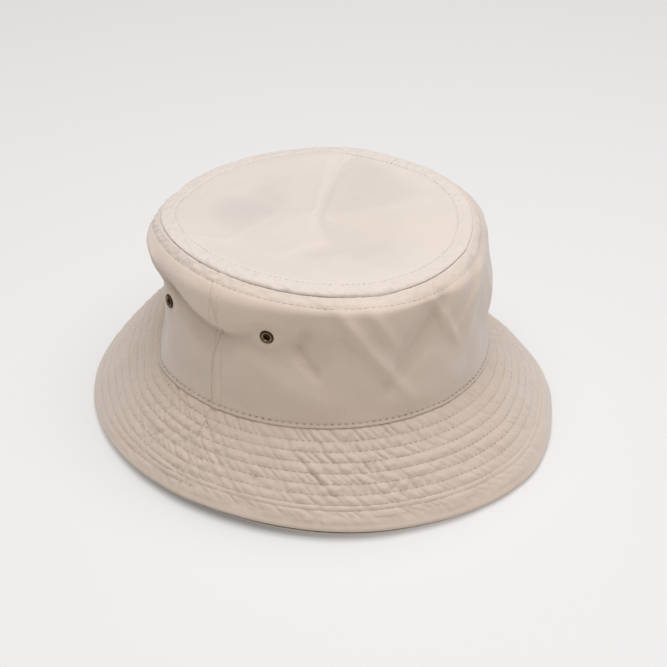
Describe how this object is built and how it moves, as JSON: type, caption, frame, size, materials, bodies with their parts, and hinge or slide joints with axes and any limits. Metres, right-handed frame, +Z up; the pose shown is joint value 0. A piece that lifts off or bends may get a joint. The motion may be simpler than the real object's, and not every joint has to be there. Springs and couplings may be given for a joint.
{
  "type": "bucket hat",
  "caption": "Cotton bucket hat with an oval crown, upright side panels, vent eyelets and a downturned quilted brim.",
  "frame": {"origin": "on the table under the middle of the brim's outline", "axes": "+Z up through the crown; the wearer faces -Y; +X is the wearer's left"},
  "size_m": [0.243, 0.264, 0.1198],
  "materials": {
    "cotton_twill": "matte woven twill, light beige",
    "interlining": "stiff woven interlining",
    "sweatband_cotton": "matte cotton",
    "seam_tape": "matte bias tape",
    "tab_satin": "white satin tape",
    "thread": "polyester sewing thread",
    "antique_brass": "antique brass, worn bright on the high spots"
  },
  "bodies": {
    "root": {"crown_tip": "cotton_twill", "crown_side_front": "cotton_twill", "crown_side_back": "cotton_twill", "brim_upper_front": "cotton_twill", "brim_upper_back": "cotton_twill", "brim_interlining_front": "interlining", "brim_interlining_back": "interlining", "brim_lower_front": "cotton_twill", "brim_lower_back": "cotton_twill", "sweatband": "sweatband_cotton", "size_tab": "tab_satin", "tip_seam_tape": "seam_tape", "side_seam_tape_left": "seam_tape", "side_seam_tape_right": "seam_tape", "brim_quilting_thread_top": "thread", "brim_quilting_thread_under": "thread", "crown_base_thread": "thread", "sweatband_thread": "thread", "tip_seam_thread_inner": "thread", "tip_seam_thread_outer": "thread", "side_seam_thread_left": "thread", "side_seam_thread_right": "thread", "eyelet_right_front": "antique_brass", "eyelet_washer_right_front": "antique_brass", "eyelet_right_back": "antique_brass", "eyelet_washer_right_back": "antique_brass", "eyelet_left_front": "antique_brass", "eyelet_washer_left_front": "antique_brass", "eyelet_left_back": "antique_brass", "eyelet_washer_left_back": "antique_brass"}
  },
  "joints": []
}
